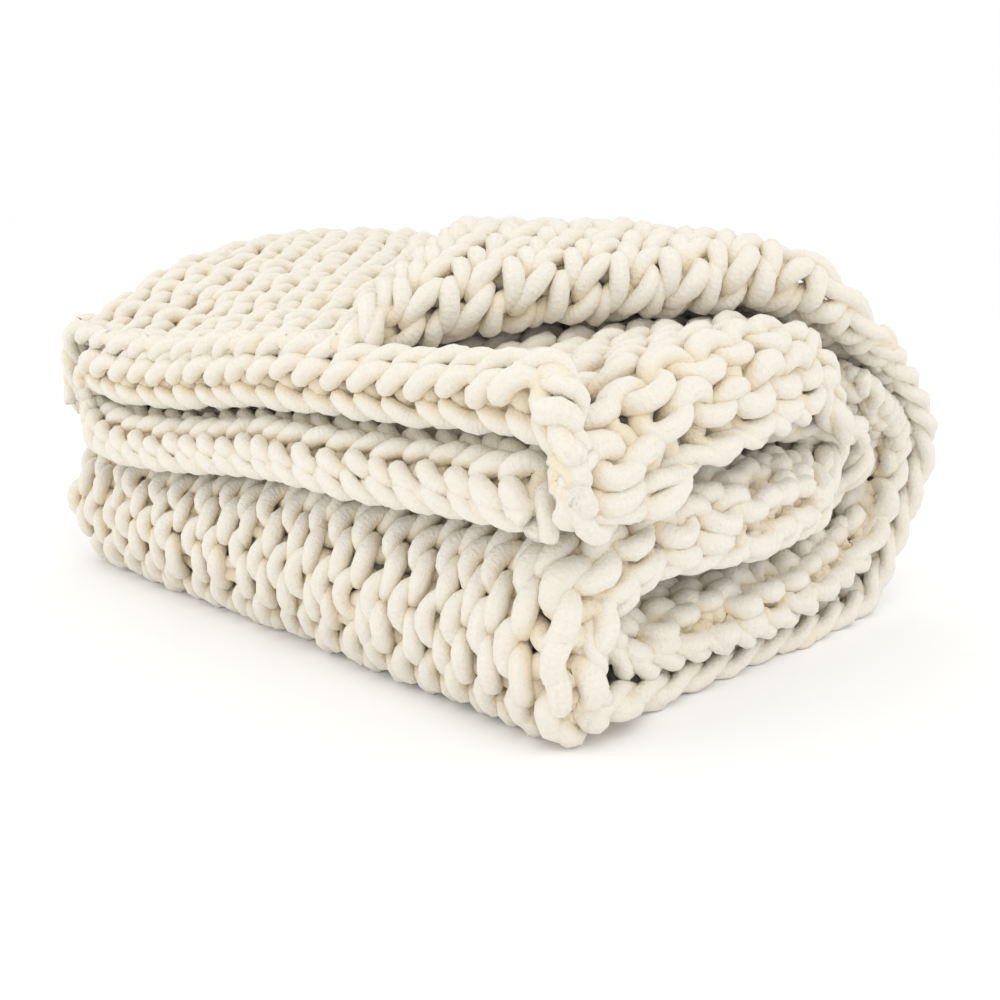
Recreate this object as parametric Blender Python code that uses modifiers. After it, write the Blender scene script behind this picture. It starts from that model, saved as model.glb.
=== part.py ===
"""Folded chunky knit blanket.

One sheet of thick knit cloth. It is doubled at its left end, so it lies in two plies joined
there, and the doubled cloth is folded back and forth. From its free front edges, one drooping and
one curled up, it runs back, round the inner fold, forward and round the front fold, and its
outermost run passes under the stack, up the back and over the top. The outer ply's front right
corner is turned back over the top along a slanted line, and its front left corner hangs down over
the left end.

The sheet is a grid of points on the middle of the cloth, worked out from the cross-sections of
the two plies, and a Solidify modifier gives it its thickness. X runs along the stack, Y from the
front to the back and Z up, in metres, with the origin under the middle of the stack.
"""

import math

import bmesh
import bpy
import numpy as np

NAME = "blanket"
CREAM = (0.86, 0.80, 0.69, 1.0)
CLOTH_ROUGHNESS = 0.9

# Cloth
THICKNESS = 0.022
FLOOR_LEVEL = THICKNESS / 2
WALES = 48.0                    # stitch columns across the cloth, from free edge to free edge
JOINED_FROM = 8.0               # the inner ply starts at this stitch column

# Middle of the stack in the coordinates of the tables
MIDDLE_X = -0.0097
MIDDLE_Y = 0.0154

# Cross-section of each ply, followed from its upper free edge round to its lower one. A point
# has its place at the left end and at the right end of the stack. The stitch columns are spread
# evenly between the points that give one.
# columns: name, left y, left z, right y, right z, stitch column
OUTER_PLY = (
    ("top front",      -0.203, 0.219,  -0.200, 0.238,  0.0),
    ("top rise",       -0.166, 0.236,  -0.160, 0.241,  None),
    ("top shoulder",   -0.110, 0.268,  -0.110, 0.244,  None),
    ("top middle",      0.000, 0.293,   0.000, 0.260,  None),
    ("top back",        0.085, 0.293,   0.085, 0.268,  None),
    ("wrap high",       0.165, 0.247,   0.178, 0.225,  None),
    ("wrap back",       0.222, 0.146,   0.252, 0.148,  14.0),
    ("wrap low",        0.214, 0.066,   0.230, 0.076,  None),
    ("wrap foot",       0.176, 0.020,   0.184, 0.024,  None),
    ("bottom back",     0.140, 0.011,   0.150, 0.011,  None),
    ("bottom middle",   0.000, 0.011,   0.000, 0.011,  22.0),
    ("bottom front",   -0.176, 0.011,  -0.176, 0.011,  None),
    ("front foot",     -0.201, 0.022,  -0.202, 0.022,  None),
    ("front middle",   -0.211, 0.062,  -0.211, 0.066,  28.0),
    ("front high",     -0.184, 0.101,  -0.182, 0.118,  None),
    ("fourth front",   -0.120, 0.116,  -0.120, 0.141,  None),
    ("fourth middle",   0.000, 0.116,   0.000, 0.141,  34.0),
    ("fourth back",     0.075, 0.118,   0.108, 0.138,  None),
    ("tuck",            0.098, 0.134,   0.130, 0.155,  38.0),
    ("fifth back",      0.075, 0.150,   0.106, 0.173,  None),
    ("fifth middle",    0.000, 0.148,   0.000, 0.174,  None),
    ("fifth front",    -0.120, 0.150,  -0.120, 0.173,  None),
    ("lip top",        -0.175, 0.152,  -0.175, 0.176,  None),
    ("lip turn",       -0.202, 0.144,  -0.203, 0.167,  None),
    ("lip edge",       -0.213, 0.130,  -0.213, 0.149,  WALES),
)
INNER_PLY = (
    ("hidden edge",     0.050, 0.252,   0.050, 0.249,  JOINED_FROM),
    ("under top",       0.092, 0.244,   0.100, 0.243,  None),
    ("round high",      0.138, 0.214,   0.155, 0.204,  None),
    ("round back",      0.184, 0.140,   0.217, 0.147,  14.0),
    ("round low",       0.174, 0.078,   0.197, 0.086,  None),
    ("second back",     0.120, 0.045,   0.130, 0.060,  None),
    ("second middle",   0.000, 0.044,   0.000, 0.063,  22.0),
    ("second front",   -0.125, 0.047,  -0.125, 0.058,  None),
    ("front pocket",   -0.168, 0.063,  -0.168, 0.075,  28.0),
    ("third front",    -0.125, 0.082,  -0.125, 0.098,  None),
    ("third middle",    0.000, 0.080,   0.000, 0.101,  34.0),
    ("third back",      0.085, 0.082,   0.118, 0.101,  None),
    ("nest low",        0.126, 0.099,   0.162, 0.116,  None),
    ("nest",            0.141, 0.138,   0.179, 0.152,  38.0),
    ("nest high",       0.120, 0.175,   0.134, 0.190,  None),
    ("sixth back",      0.075, 0.203,   0.088, 0.221,  None),
    ("sixth middle",    0.000, 0.205,   0.000, 0.226,  None),
    ("sixth front",    -0.110, 0.186,  -0.110, 0.212,  None),
    ("curl foot",      -0.160, 0.184,  -0.160, 0.206,  None),
    ("curl turn",      -0.188, 0.186,  -0.190, 0.209,  None),
    ("curl edge",      -0.203, 0.196,  -0.202, 0.223,  WALES),
)

# How far each run reaches, and how far its right end curls towards the knit side.
# columns: stitch column, left end x, right end x, curl in degrees
OUTER_ENDS = (
    (0.0,  -0.270, 0.312, 0.0),
    (8.0,  -0.270, 0.312, 0.0),
    (14.0, -0.285, 0.312, -14.0),
    (22.0, -0.312, 0.303, 0.0),
    (26.0, -0.318, 0.301, 4.0),
    (29.0, -0.318, 0.292, 16.0),
    (34.0, -0.300, 0.285, 34.0),
    (38.0, -0.285, 0.252, 2.0),
    (43.0, -0.254, 0.278, 8.0),
    (48.0, -0.242, 0.312, 4.0),
)
INNER_ENDS = (
    (8.0,  -0.270, 0.300, 0.0),
    (14.0, -0.285, 0.288, 8.0),
    (22.0, -0.312, 0.276, 38.0),
    (28.0, -0.318, 0.270, 10.0),
    (34.0, -0.300, 0.264, -5.0),
    (38.0, -0.285, 0.270, 2.0),
    (41.0, -0.275, 0.288, 48.0),
    (44.0, -0.266, 0.298, 52.0),
    (46.5, -0.263, 0.302, 14.0),
    (48.0, -0.262, 0.304, 8.0),
)
CURL_LENGTH = 0.045             # the stretch of the right end that curls
LEAST_CURL = 0.1                # degrees
JOIN_SHARE = 0.026              # share of the length that rounds into the joined left end
JOIN_FADE = 2.0                 # stitch columns over which the join dies out at the hidden edge
LEAST_JOIN_RADIUS = 0.0145

# The slanted turn-back of the outer ply's front right corner
TURN_START = np.array([0.070, -0.215])
TURN_END = np.array([0.312, 0.165])
TURN_RADIUS = 0.0150
TURN_WALES = 11.0               # only the top run is turned back
HIDDEN_EDGE_SHIFT = 4.0         # the inner ply's hidden edge draws back behind the turn
HIDDEN_EDGE_FROM = 0.60         # share of the length where it starts to draw back

# The outer ply's front left corner hangs down over the left end
HANG_LENGTH = 0.095
HANG_WALES = 8.0
HANG_SHARE = 0.35               # share of the length over which the extra cloth is drawn out
HANG_EDGE = OUTER_ENDS[0][1]
HANG_RADIUS = 0.040
HANG_ANGLE = math.radians(87)

# Small bends that the whole stack shares, each a sum of waves
# columns: size, waves along x, along y and along z in radians per metre, start in radians
SWAY_Y = ((0.005, 11.0, 0.0, 0.0, 0.6), (0.003, 23.0, 0.0, 9.0, 2.0))
SWELL_Z = ((0.0045, 9.5, 6.0, 0.0, 1.2), (0.003, 21.0, -8.0, 0.0, 0.0))
SLIDE_X = ((0.004, 0.0, 17.0, 12.0, 0.0),)
FLAT_BELOW = 0.030              # the lowest cloth keeps still, so the underside stays flat
FREE_ABOVE = 0.130
FOOT_SWAY = 0.4                 # share of the sway that the foot of the stack keeps

# Charts of the cross-sections and of the top's height
SPLINE_STEPS = 12
CHART_SHARES = np.linspace(0.0, 1.0, 33)
CHART_WALES = np.linspace(0.0, WALES, 481)
CHART_DEPTHS = np.linspace(-0.26, 0.26, 131)
HEADING_STEP = 0.15             # stitch columns each way over which a heading is taken


def smooth(share):
    """Ease from 0 to 1."""
    share = np.clip(share, 0.0, 1.0)
    return share * share * (3.0 - 2.0 * share)


def smooth_line(stops):
    """A smooth curve through the stops, with SPLINE_STEPS points from each stop to the next."""
    stops = np.array(stops)
    guide = np.vstack([2 * stops[0] - stops[1], stops, 2 * stops[-1] - stops[-2]])
    share = np.linspace(0.0, 1.0, SPLINE_STEPS, endpoint=False)[:, None]
    pieces = []
    for before, start, end, after in zip(guide, guide[1:], guide[2:], guide[3:]):
        pieces.append(0.5 * (2 * start + (end - before) * share
                             + (2 * before - 5 * start + 4 * end - after) * share ** 2
                             + (3 * start - 3 * end + after - before) * share ** 3))
    return np.vstack([*pieces, stops[-1:]])


def section_chart(ply):
    """Places (y, z) of a ply by share of the length and by stitch column."""
    left = smooth_line([row[1:3] for row in ply])
    right = smooth_line([row[3:5] for row in ply])
    marked = [k for k, row in enumerate(ply) if row[5] is not None]
    marks = [ply[k][5] for k in marked]
    chart = []
    for share in CHART_SHARES:
        line = left + (right - left) * share
        line[:, 1] = np.maximum(line[:, 1], FLOOR_LEVEL)
        steps = np.linalg.norm(np.diff(line, axis=0), axis=1)
        length = np.concatenate([[0.0], np.cumsum(steps)])
        wales = np.interp(length, length[np.array(marked) * SPLINE_STEPS], marks)
        chart.append(np.stack([np.interp(CHART_WALES, wales, line[:, k]) for k in (0, 1)], axis=1))
    return np.array(chart)


def height_chart(chart):
    """Heights of the top run by share of the length and by depth y."""
    top = chart[:, CHART_WALES <= TURN_WALES]
    return np.array([np.interp(CHART_DEPTHS, line[:, 0], line[:, 1]) for line in top])[..., None]


def read_chart(chart, rows, columns, row, column):
    """Read a chart between its grid points."""
    i_place = (np.clip(row, rows[0], rows[-1]) - rows[0]) / (rows[1] - rows[0])
    j_place = (np.clip(column, columns[0], columns[-1]) - columns[0]) / (columns[1] - columns[0])
    i = np.minimum(i_place.astype(int), len(rows) - 2)
    j = np.minimum(j_place.astype(int), len(columns) - 2)
    u = (i_place - i)[..., None]
    v = (j_place - j)[..., None]
    near = chart[i, j] * (1 - u) + chart[i + 1, j] * u
    far = chart[i, j + 1] * (1 - u) + chart[i + 1, j + 1] * u
    return near * (1 - v) + far * v


OUTER_CHART = section_chart(OUTER_PLY)
INNER_CHART = section_chart(INNER_PLY)
TOP_CHART = height_chart(OUTER_CHART)


def section_place(chart, share, wale):
    """The place (y, z) on a cross-section and the heading of the cross-section there."""
    place = read_chart(chart, CHART_SHARES, CHART_WALES, share, wale)
    ahead = read_chart(chart, CHART_SHARES, CHART_WALES, share, wale + HEADING_STEP)
    behind = read_chart(chart, CHART_SHARES, CHART_WALES, share, wale - HEADING_STEP)
    heading = ahead - behind
    heading /= np.maximum(np.linalg.norm(heading, axis=-1, keepdims=True), 1e-9)
    return place, heading


def end_values(ends, wale):
    """Left end, right end and curl at a stitch column."""
    table = np.array(ends)
    k = np.clip(np.searchsorted(table[:, 0], wale, side="right") - 1, 0, len(table) - 2)
    share = smooth((wale - table[k, 0]) / (table[k + 1, 0] - table[k, 0]))
    return [table[k, c] + (table[k + 1, c] - table[k, c]) * share for c in (1, 2, 3)]


def turn_back(points):
    """Fold the points of the top run that lie beyond the slanted line back over it."""
    line = (TURN_END - TURN_START) / np.linalg.norm(TURN_END - TURN_START)
    outward = np.array([line[1], -line[0]])
    beyond = (points[..., :2] - TURN_START) @ outward
    angle = np.clip(beyond / TURN_RADIUS, 0.0, math.pi)
    flap = np.maximum(beyond - math.pi * TURN_RADIUS, 0.0)
    shift = TURN_RADIUS * np.sin(angle) - flap - np.maximum(beyond, 0.0)
    plan = points[..., :2] + outward * shift[..., None]
    _, left, right, _ = OUTER_ENDS[0]
    share = (plan[..., 0] - left) / (right - left)
    top = read_chart(TOP_CHART, CHART_SHARES, CHART_DEPTHS, share, plan[..., 1])[..., 0]
    height = top + TURN_RADIUS * (1.0 - np.cos(angle))
    turned = np.stack([plan[..., 0], plan[..., 1], height], axis=-1)
    return np.where(beyond[..., None] > 0.0, turned, points)


def hang(points, along, wale):
    """Draw the top run's front left corner out over the left end and let it hang."""
    extra = HANG_LENGTH * (1.0 - smooth(wale / HANG_WALES))
    drawn = extra * np.clip(1.0 - along / HANG_SHARE, 0.0, 1.0) ** 2
    x = points[..., 0] - drawn
    past = np.maximum(HANG_EDGE - x, 0.0)
    angle = np.minimum(past / HANG_RADIUS, HANG_ANGLE)
    straight = np.maximum(past - HANG_RADIUS * HANG_ANGLE, 0.0)
    reach = HANG_RADIUS * np.sin(angle) + straight * math.cos(HANG_ANGLE)
    drop = HANG_RADIUS * (1.0 - np.cos(angle)) + straight * math.sin(HANG_ANGLE)
    hung = np.stack([np.maximum(x, HANG_EDGE) - reach, points[..., 1], points[..., 2] - drop],
                    axis=-1)
    return np.where((drawn > 0.0)[..., None], hung, points)


def waves(table, x, y, z):
    """Sum of a table's waves."""
    return sum(size * np.sin(along_x * x + along_y * y + along_z * z + start)
               for size, along_x, along_y, along_z, start in table)


def slump(points):
    """Bend the stack a little and centre it. The underside stays flat."""
    x, y, z = (points[..., k] for k in range(3))
    lift = smooth((z - FLAT_BELOW) / (FREE_ABOVE - FLAT_BELOW))
    sway = waves(SWAY_Y, x, y, z) * (FOOT_SWAY + (1.0 - FOOT_SWAY) * lift)
    slide = waves(SLIDE_X, x, y, z)
    swell = waves(SWELL_Z, x, y, z) * lift
    return np.stack([x + slide - MIDDLE_X, y + sway - MIDDLE_Y, z + swell], axis=-1)


def cloth_points(outer, along, wale):
    """Points of the middle surface of one ply. along runs from 0, left, to 1, right."""
    outer_yz, outer_heading = section_place(OUTER_CHART, along, wale)
    inner_yz, inner_heading = section_place(INNER_CHART, along, np.maximum(wale, JOINED_FROM))
    yz, heading = (outer_yz, outer_heading) if outer else (inner_yz, inner_heading)
    purl_side = np.stack([-heading[..., 1], heading[..., 0]], axis=-1) * (1.0 if outer else -1.0)
    left = end_values(OUTER_ENDS, wale)[0]
    _, right, curl = end_values(OUTER_ENDS if outer else INNER_ENDS, wale)
    x = left + along * (right - left)

    half = (outer_yz - inner_yz) / 2
    radius = np.maximum(np.linalg.norm(half, axis=-1), LEAST_JOIN_RADIUS)
    angle = 0.5 * math.pi * np.clip(along / JOIN_SHARE, 0.0, 1.0)
    weight = smooth((wale - JOINED_FROM + JOIN_FADE) / JOIN_FADE)
    middle = (outer_yz + inner_yz) / 2
    yz = yz + (middle - yz) * ((1.0 - np.sin(angle)) * weight)[..., None]
    straight = np.maximum(along - JOIN_SHARE, 0.0) / (1.0 - JOIN_SHARE)
    joined_x = left + radius * (1.0 - np.cos(angle)) + straight * (right - left - radius)
    x = x + (joined_x - x) * weight

    bend = np.radians(np.maximum(np.abs(curl), LEAST_CURL))
    bend_radius = CURL_LENGTH / bend
    turned = np.clip((x - right + CURL_LENGTH) / bend_radius, 0.0, bend)
    x = np.minimum(x, right - CURL_LENGTH) + bend_radius * np.sin(turned)
    dip = np.sign(curl) * bend_radius * (1.0 - np.cos(turned))
    yz = yz - purl_side * dip[..., None]

    points = np.concatenate([x[..., None], yz], axis=-1)
    if outer:
        points = np.where((wale < TURN_WALES)[..., None], turn_back(points), points)
        points = hang(points, along, wale)
    return slump(points)


# Lines of the grid: steps in each stretch of stitch columns
# columns: to stitch column, steps
WALE_STEPS = (
    (7.0, 7),
    (11.5, 12),
    (18.0, 8),
    (25.0, 5),
    (31.0, 10),
    (36.0, 4),
    (40.0, 9),
    (45.0, 5),
    (48.0, 6),
)
# Columns of the grid along the stack: share of the length where the cloth lies flat, and the
# place in the turned corner (before the fold, on its round, or on the turned-back flap)
# columns: flat share, turned place, share of that place
FLAT, ROUND, FLAP = range(3)
OUTER_COLUMNS = (
    (0.0000, FLAT, 0.000),
    (0.0065, FLAT, 0.011),
    (0.0130, FLAT, 0.022),
    (0.0195, FLAT, 0.033),
    (0.0260, FLAT, 0.045),
    (0.1100, FLAT, 0.160),
    (0.2000, FLAT, 0.300),
    (0.3000, FLAT, 0.460),
    (0.4000, FLAT, 0.630),
    (0.4900, FLAT, 0.815),
    (0.5800, FLAT, 1.000),
    (0.6600, ROUND, 0.200),
    (0.7300, ROUND, 0.400),
    (0.8000, ROUND, 0.600),
    (0.8600, ROUND, 0.800),
    (0.9050, ROUND, 1.000),
    (0.9300, FLAP, 0.250),
    (0.9550, FLAP, 0.500),
    (0.9780, FLAP, 0.750),
    (1.0000, FLAP, 1.000),
)
INNER_SHARES = (0.0, 0.0065, 0.013, 0.0195, 0.026, 0.12, 0.25, 0.38, 0.51, 0.64, 0.76, 0.87, 0.93,
                0.965, 1.0)
COLUMNS_SPREAD_OVER = 5.0       # stitch columns past the turn over which the grid evens out
LEAST_TURNED_LENGTH = 0.030
MOST_ROUND = 0.56               # share of the turned length that lies on the round at most
TURN_SHARE = 0.8                # share of the length where the turn's cross-section is read


def column_shares(column, wales):
    """Places along the stack of a grid column of the outer ply, gathered round the turn."""
    flat_share, place, place_share = column
    left, right, _ = end_values(OUTER_ENDS, wales)
    share = np.full(len(wales), TURN_SHARE)
    y = section_place(OUTER_CHART, share, np.minimum(wales, TURN_WALES))[0][:, 0]
    line = TURN_END - TURN_START
    crossing = TURN_START[0] + (y - TURN_START[1]) * line[0] / line[1]
    crossing = np.minimum(crossing, right - LEAST_TURNED_LENGTH)
    round_length = math.pi * TURN_RADIUS * np.linalg.norm(line) / line[1]
    round_length = np.minimum(round_length, MOST_ROUND * (right - crossing))
    x = {
        FLAT: left + place_share * (crossing - left),
        ROUND: crossing + place_share * round_length,
        FLAP: crossing + round_length + place_share * (right - crossing - round_length),
    }[place]
    turned_share = (x - left) / (right - left)
    spread = smooth((wales - TURN_WALES) / COLUMNS_SPREAD_OVER)
    return turned_share + (flat_share - turned_share) * spread


def hidden_wales(along, wales):
    """Stitch columns of the inner ply with its hidden edge drawn back behind the turn."""
    drawn = HIDDEN_EDGE_SHIFT * smooth((along - HIDDEN_EDGE_FROM) / (1.0 - HIDDEN_EDGE_FROM))
    return wales + drawn * (1.0 - smooth((wales - JOINED_FROM) / (HIDDEN_EDGE_SHIFT * 2)))


def grid_wales():
    """Stitch columns at which the grid has a line of points."""
    wales = [0.0]
    for end, steps in WALE_STEPS:
        wales += list(np.linspace(wales[-1], end, steps + 1)[1:])
    return np.array(wales)


def build_sheet():
    """The open sheet: the outer ply, the join at the left end, and the inner ply."""
    bm = bmesh.new()
    wales = grid_wales()
    rows = []
    for column in reversed(OUTER_COLUMNS):
        points = cloth_points(True, column_shares(column, wales), wales)
        rows.append([bm.verts.new(point) for point in points])
    for along in INNER_SHARES[1:]:
        points = cloth_points(False, np.full(len(wales), along), hidden_wales(along, wales))
        rows.append([bm.verts.new(point) if wale >= JOINED_FROM else None
                     for point, wale in zip(points, wales)])
    for row, following in zip(rows, rows[1:]):
        for k in range(len(wales) - 1):
            corners = (row[k], row[k + 1], following[k + 1], following[k])
            if None not in corners:
                bm.faces.new(corners)
    mesh = bpy.data.meshes.new(NAME)
    bm.to_mesh(mesh)
    bm.free()
    return mesh


def knit_material():
    material = bpy.data.materials.new("cream chenille")
    material.use_nodes = True
    finish = material.node_tree.nodes["Principled BSDF"]
    finish.inputs["Base Color"].default_value = CREAM
    finish.inputs["Roughness"].default_value = CLOTH_ROUGHNESS
    finish.inputs["Metallic"].default_value = 0.0
    return material


def build_blanket(collection):
    """Thicken the sheet, then press its underside flat."""
    sheet = bpy.data.objects.new("sheet", build_sheet())
    collection.objects.link(sheet)
    solidify = sheet.modifiers.new("Thickness", "SOLIDIFY")
    solidify.thickness = THICKNESS
    solidify.offset = 0.0
    depsgraph = bpy.context.evaluated_depsgraph_get()
    mesh = bpy.data.meshes.new_from_object(sheet.evaluated_get(depsgraph))
    bpy.data.objects.remove(sheet)
    for vertex in mesh.vertices:
        vertex.co.z = max(vertex.co.z, 0.0)
    mesh.name = NAME
    mesh.materials.append(knit_material())
    mesh.shade_smooth()
    blanket = bpy.data.objects.new(NAME, mesh)
    collection.objects.link(blanket)
    return blanket


def main():
    for thing in list(bpy.data.objects):
        bpy.data.objects.remove(thing)
    collection = bpy.data.collections.new("Chunky knit blanket")
    bpy.context.scene.collection.children.link(collection)
    build_blanket(collection)


main()
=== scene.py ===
"""Folded chunky knit blanket: its knitted yarn, the yarn's finish, and a pale studio.

Both plies of the cloth are knitted here stitch by stitch, on a middle surface that is made as the
solid's is, with its right end and its upper runs shaped further. Lengths are in metres, +Z is up,
and the origin lies under the middle of the stack.
"""

import math

import bpy
import numpy as np
from bpy.props import FloatProperty, FloatVectorProperty, IntProperty, PointerProperty
from mathutils import Matrix, Vector


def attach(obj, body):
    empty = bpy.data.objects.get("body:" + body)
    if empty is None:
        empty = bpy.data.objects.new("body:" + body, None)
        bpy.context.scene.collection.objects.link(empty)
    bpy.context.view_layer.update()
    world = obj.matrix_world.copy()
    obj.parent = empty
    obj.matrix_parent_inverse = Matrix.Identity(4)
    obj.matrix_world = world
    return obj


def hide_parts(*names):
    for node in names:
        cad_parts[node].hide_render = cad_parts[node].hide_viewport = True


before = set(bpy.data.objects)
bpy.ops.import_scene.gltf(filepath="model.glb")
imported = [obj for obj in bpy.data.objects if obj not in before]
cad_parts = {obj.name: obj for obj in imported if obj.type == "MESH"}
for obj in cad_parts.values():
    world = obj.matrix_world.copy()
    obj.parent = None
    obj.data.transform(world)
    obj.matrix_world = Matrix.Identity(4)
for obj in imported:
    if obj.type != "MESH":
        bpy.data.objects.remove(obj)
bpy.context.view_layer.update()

bl_info = {
    "name": "Chunky Knit Blanket",
    "version": (1, 0, 0),
    "blender": (4, 5, 0),
    "location": "View3D > Sidebar > Blanket",
    "description": "Knits the folded blanket in chenille yarn and sets up its studio",
    "category": "Add Mesh",
}

# Names shared with the part, and the pieces of knitting
BODY = "root"
NODE = "blanket"
YARN_LENGTH = "yarn_length"     # the attribute that holds the distance along the yarn
CLOTH_HEIGHT = "cloth_height"   # and the one that holds the height over the cloth's middle, which sets the painted hollow shade
OUTER_BANDS = (0, 6, 12, 17, 22)   # courses at which a ply is parted into pieces
INNER_BANDS = (0, 12, 18, 22)

# Heights over the cloth's middle between which the painted hollow shade fades out, from yarn deep in
# the cloth to bare yarn
SURFACE_FROM = 0.003
SURFACE_TO = 0.0105

# Relief of the chenille: each part's share of the height, and the grain of the larger tufts
TUFT_SCALE = 0.42               # scale of the tufts over the scale of the pile
PILE_HEIGHT = 0.7
RING_HEIGHT = 0.16
RING_WANDER = 4.0               # how far the tufts push the rings along the yarn, in radians
RELIEF_STRENGTH = 0.6

# Shade of the chenille: painted shade, more of it low in the pile's relief, and a real tone that
# differs in faint patches
PATCH_SCALE = 16.0              # patches for each metre
PATCH_SHADE = 0.3
LOW_SHADE = 0.45
LOW_FROM = 1.25                 # the height of the relief at which the painted shade sets in
SHEEN_TINT = (1.0, 0.97, 0.91, 1.0)

# A line's step that is shorter than this is left out
SAME_POINT = 1e-6

# Studio
FLOOR_REACH = 30.0
KEY_PLACE = Vector((1.3, -0.5, 1.9))
KEY_SIZE = 1.5
FILL_PLACE = Vector((-1.2, -1.8, 1.0))
FILL_SIZE = 1.8
LIGHT_AIM = Vector((0.0, 0.0, 0.15))

# Cloth
THICKNESS = 0.022
FLOOR_LEVEL = THICKNESS / 2
WALES = 48.0                    # stitch columns across the cloth, from free edge to free edge
JOINED_FROM = 8.0               # the inner ply starts at this stitch column

# Middle of the stack in the coordinates of the tables
MIDDLE_X = -0.0097
MIDDLE_Y = 0.0154

# Cross-section of each ply, followed from its upper free edge round to its lower one. A point
# has its place at the left end and at the right end of the stack. The stitch columns are spread
# evenly between the points that give one.
# columns: name, left y, left z, right y, right z, stitch column
OUTER_PLY = (
    ("top front",      -0.203, 0.219,  -0.200, 0.238,  0.0),
    ("top rise",       -0.166, 0.236,  -0.160, 0.241,  None),
    ("top shoulder",   -0.110, 0.268,  -0.110, 0.244,  None),
    ("top middle",      0.000, 0.293,   0.000, 0.260,  None),
    ("top back",        0.085, 0.293,   0.085, 0.268,  None),
    ("wrap high",       0.165, 0.247,   0.178, 0.225,  None),
    ("wrap back",       0.222, 0.146,   0.252, 0.148,  14.0),
    ("wrap low",        0.214, 0.066,   0.230, 0.076,  None),
    ("wrap foot",       0.176, 0.020,   0.184, 0.024,  None),
    ("bottom back",     0.140, 0.011,   0.150, 0.011,  None),
    ("bottom middle",   0.000, 0.011,   0.000, 0.011,  22.0),
    ("bottom front",   -0.176, 0.011,  -0.176, 0.011,  None),
    ("front foot",     -0.201, 0.022,  -0.202, 0.022,  None),
    ("front middle",   -0.211, 0.062,  -0.211, 0.066,  28.0),
    ("front high",     -0.184, 0.101,  -0.182, 0.118,  None),
    ("fourth front",   -0.120, 0.116,  -0.120, 0.147,  None),
    ("fourth middle",   0.000, 0.116,   0.000, 0.149,  34.0),
    ("fourth back",     0.075, 0.118,   0.106, 0.146,  None),
    ("tuck",            0.098, 0.134,   0.130, 0.155,  38.0),
    ("fifth back",      0.075, 0.150,   0.106, 0.173,  None),
    ("fifth middle",    0.000, 0.148,   0.000, 0.174,  None),
    ("fifth front",    -0.120, 0.150,  -0.120, 0.173,  None),
    ("lip top",        -0.175, 0.152,  -0.175, 0.176,  None),
    ("lip turn",       -0.202, 0.144,  -0.203, 0.167,  None),
    ("lip edge",       -0.213, 0.130,  -0.213, 0.149,  WALES),
)
INNER_PLY = (
    ("hidden edge",     0.050, 0.252,   0.050, 0.249,  JOINED_FROM),
    ("under top",       0.092, 0.244,   0.100, 0.243,  None),
    ("round high",      0.138, 0.214,   0.155, 0.204,  None),
    ("round back",      0.184, 0.140,   0.217, 0.147,  14.0),
    ("round low",       0.174, 0.078,   0.197, 0.086,  None),
    ("second back",     0.120, 0.045,   0.130, 0.060,  None),
    ("second middle",   0.000, 0.044,   0.000, 0.063,  22.0),
    ("second front",   -0.125, 0.047,  -0.125, 0.058,  None),
    ("front pocket",   -0.168, 0.063,  -0.168, 0.075,  28.0),
    ("third front",    -0.125, 0.082,  -0.125, 0.098,  None),
    ("third middle",    0.000, 0.080,   0.000, 0.101,  34.0),
    ("third back",      0.085, 0.082,   0.118, 0.101,  None),
    ("nest low",        0.126, 0.099,   0.162, 0.116,  None),
    ("nest",            0.141, 0.138,   0.179, 0.152,  38.0),
    ("nest high",       0.120, 0.175,   0.134, 0.190,  None),
    ("sixth back",      0.075, 0.207,   0.088, 0.242,  None),
    ("sixth middle",    0.000, 0.210,   0.000, 0.252,  None),
    ("sixth front",    -0.110, 0.192,  -0.110, 0.237,  None),
    ("curl foot",      -0.158, 0.182,  -0.158, 0.214,  None),
    ("curl turn",      -0.192, 0.176,  -0.194, 0.206,  None),
    ("curl rise",      -0.210, 0.190,  -0.213, 0.219,  None),
    ("curl edge",      -0.202, 0.206,  -0.204, 0.237,  WALES),
)

# How far each run reaches, how far its right end bends towards the knit side, and how much
# cloth hangs on straight after the bend.
# columns: stitch column, left end x, right end x, bend in degrees, straight length
OUTER_ENDS = (
    (0.0,  -0.270, 0.312, 0.0, 0.0),
    (8.0,  -0.270, 0.312, 0.0, 0.0),
    (14.0, -0.285, 0.314, 10.0, 0.0),
    (22.0, -0.312, 0.303, 0.0, 0.0),
    (24.0, -0.315, 0.304, 30.0, 0.0),
    (25.5, -0.318, 0.306, 62.0, 0.004),
    (27.0, -0.318, 0.306, 80.0, 0.010),
    (28.5, -0.318, 0.306, 82.0, 0.012),
    (30.0, -0.315, 0.307, 84.0, 0.022),
    (33.0, -0.305, 0.309, 84.0, 0.030),
    (36.0, -0.292, 0.306, 80.0, 0.026),
    (38.0, -0.285, 0.297, 45.0, 0.0),
    (39.5, -0.275, 0.280, 10.0, 0.0),
    (41.0, -0.270, 0.266, -10.0, 0.0),
    (44.5, -0.268, 0.276, -10.0, 0.0),
    (46.0, -0.268, 0.288, -50.0, 0.0),
    (48.0, -0.268, 0.292, -62.0, 0.0),
)
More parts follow.
